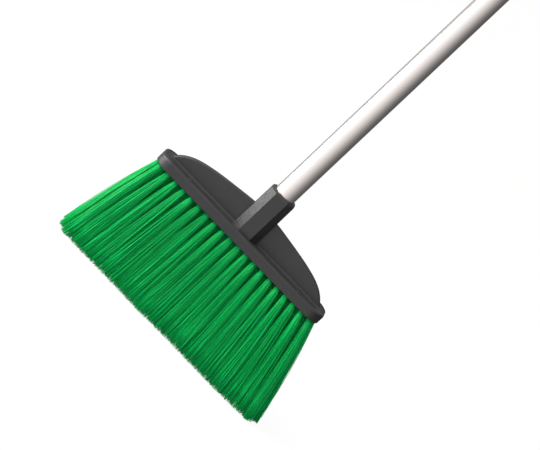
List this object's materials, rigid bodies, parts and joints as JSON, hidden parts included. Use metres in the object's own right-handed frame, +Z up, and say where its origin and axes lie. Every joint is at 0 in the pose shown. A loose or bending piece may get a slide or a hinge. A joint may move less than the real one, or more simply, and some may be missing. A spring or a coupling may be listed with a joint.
{
  "type": "push broom",
  "caption": "Upright sweeping broom: long flared bristles under an arched plastic head, on a straight metal tube handle with a ribbed grip and a hanging eye.",
  "frame": {"origin": "on the floor, under the middle of the bristle tips", "axes": "+Z up the handle, +X along the head, +Y towards the head's back"},
  "size_m": [0.2962, 0.0646, 1.4058],
  "materials": {
    "charcoal_plastic": "satin",
    "green_bristle": "satin",
    "anchor_wire": "satin",
    "screw_steel": "satin",
    "satin_aluminium": "satin",
    "black_plastic": "satin",
    "grip_rubber": "matte",
    "soft_rubber": "matte"
  },
  "bodies": {
    "head": {"bristle_block": "charcoal_plastic", "fin_housing": "charcoal_plastic", "housing_screws": "screw_steel", "tuft_anchors": "anchor_wire", "tuft_column_01": "green_bristle", "tuft_column_02": "green_bristle", "tuft_column_03": "green_bristle", "tuft_column_04": "green_bristle", "tuft_column_05": "green_bristle", "tuft_column_06": "green_bristle", "tuft_column_07": "green_bristle", "tuft_column_08": "green_bristle", "tuft_column_09": "green_bristle", "tuft_column_10": "green_bristle", "tuft_column_11": "green_bristle", "tuft_column_12": "green_bristle", "tuft_column_13": "green_bristle", "tuft_column_14": "green_bristle", "tuft_column_15": "green_bristle", "tuft_column_16": "green_bristle", "tuft_column_17": "green_bristle", "tuft_column_18": "green_bristle", "tuft_column_19": "green_bristle", "tuft_column_20": "green_bristle", "tuft_column_21": "green_bristle"},
    "washer": {"thread_washer": "soft_rubber"},
    "handle": {"handle_tube": "satin_aluminium", "thread_plug": "black_plastic", "plug_pin": "screw_steel", "hand_grip": "grip_rubber", "top_bush": "black_plastic"},
    "hanger": {"hanger_eye": "black_plastic", "hanger_clip": "screw_steel"}
  },
  "joints": [
    {"name": "handle_travel", "type": "slide", "parent": "head", "child": "washer", "axis": [0, 0, 1], "range_m": [0, 0.0254]},
    {"name": "handle_turn", "type": "hinge", "parent": "washer", "child": "handle", "pos_m": [0, 0, 0.168], "axis": [0, 0, 1], "range_deg": [0, 1800]},
    {"name": "hanger_swivel", "type": "hinge", "parent": "handle", "child": "hanger", "pos_m": [0, 0, 1.3735], "axis": [0, 0, 1], "continuous": true}
  ],
  "couplings": [
    {"joint": "handle_turn", "follows": "handle_travel", "rad_per_m": 1236.8}
  ]
}
